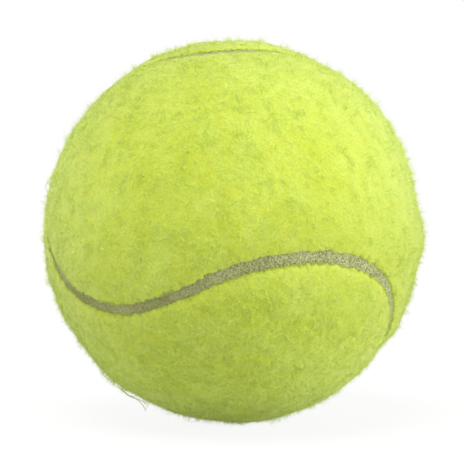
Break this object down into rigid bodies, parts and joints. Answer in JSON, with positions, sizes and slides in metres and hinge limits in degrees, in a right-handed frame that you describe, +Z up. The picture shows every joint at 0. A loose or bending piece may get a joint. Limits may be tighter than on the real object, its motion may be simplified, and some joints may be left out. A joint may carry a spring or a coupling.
{
  "type": "tennis ball",
  "caption": "Hollow rubber ball for tennis, glued from core shells, covered with dog-bone panels of felt and sealed by a recessed curved rubber seam.",
  "frame": {"origin": "the ball's centre", "axes": "+Z up, square to the joint between the two halves of the core; -Y is the side that faces the camera in the picture, where the seam's double curve crosses just below the middle"},
  "size_m": [0.067, 0.067, 0.067],
  "materials": {
    "core_rubber": "matte",
    "core_glue": "satin",
    "rubber_cement": "matte",
    "base_cloth": "matte",
    "felt_nap": "matte",
    "seam_rubber": "matte"
  },
  "bodies": {
    "root": {"upper_core_half": "core_rubber", "lower_core_half": "core_rubber", "core_glue_ring": "core_glue", "core_cement_coat": "rubber_cement", "upper_panel_glue_coat": "rubber_cement", "upper_panel_base_cloth": "base_cloth", "upper_panel_nap": "felt_nap", "lower_panel_glue_coat": "rubber_cement", "lower_panel_base_cloth": "base_cloth", "lower_panel_nap": "felt_nap", "seam_band": "seam_rubber"}
  },
  "joints": []
}
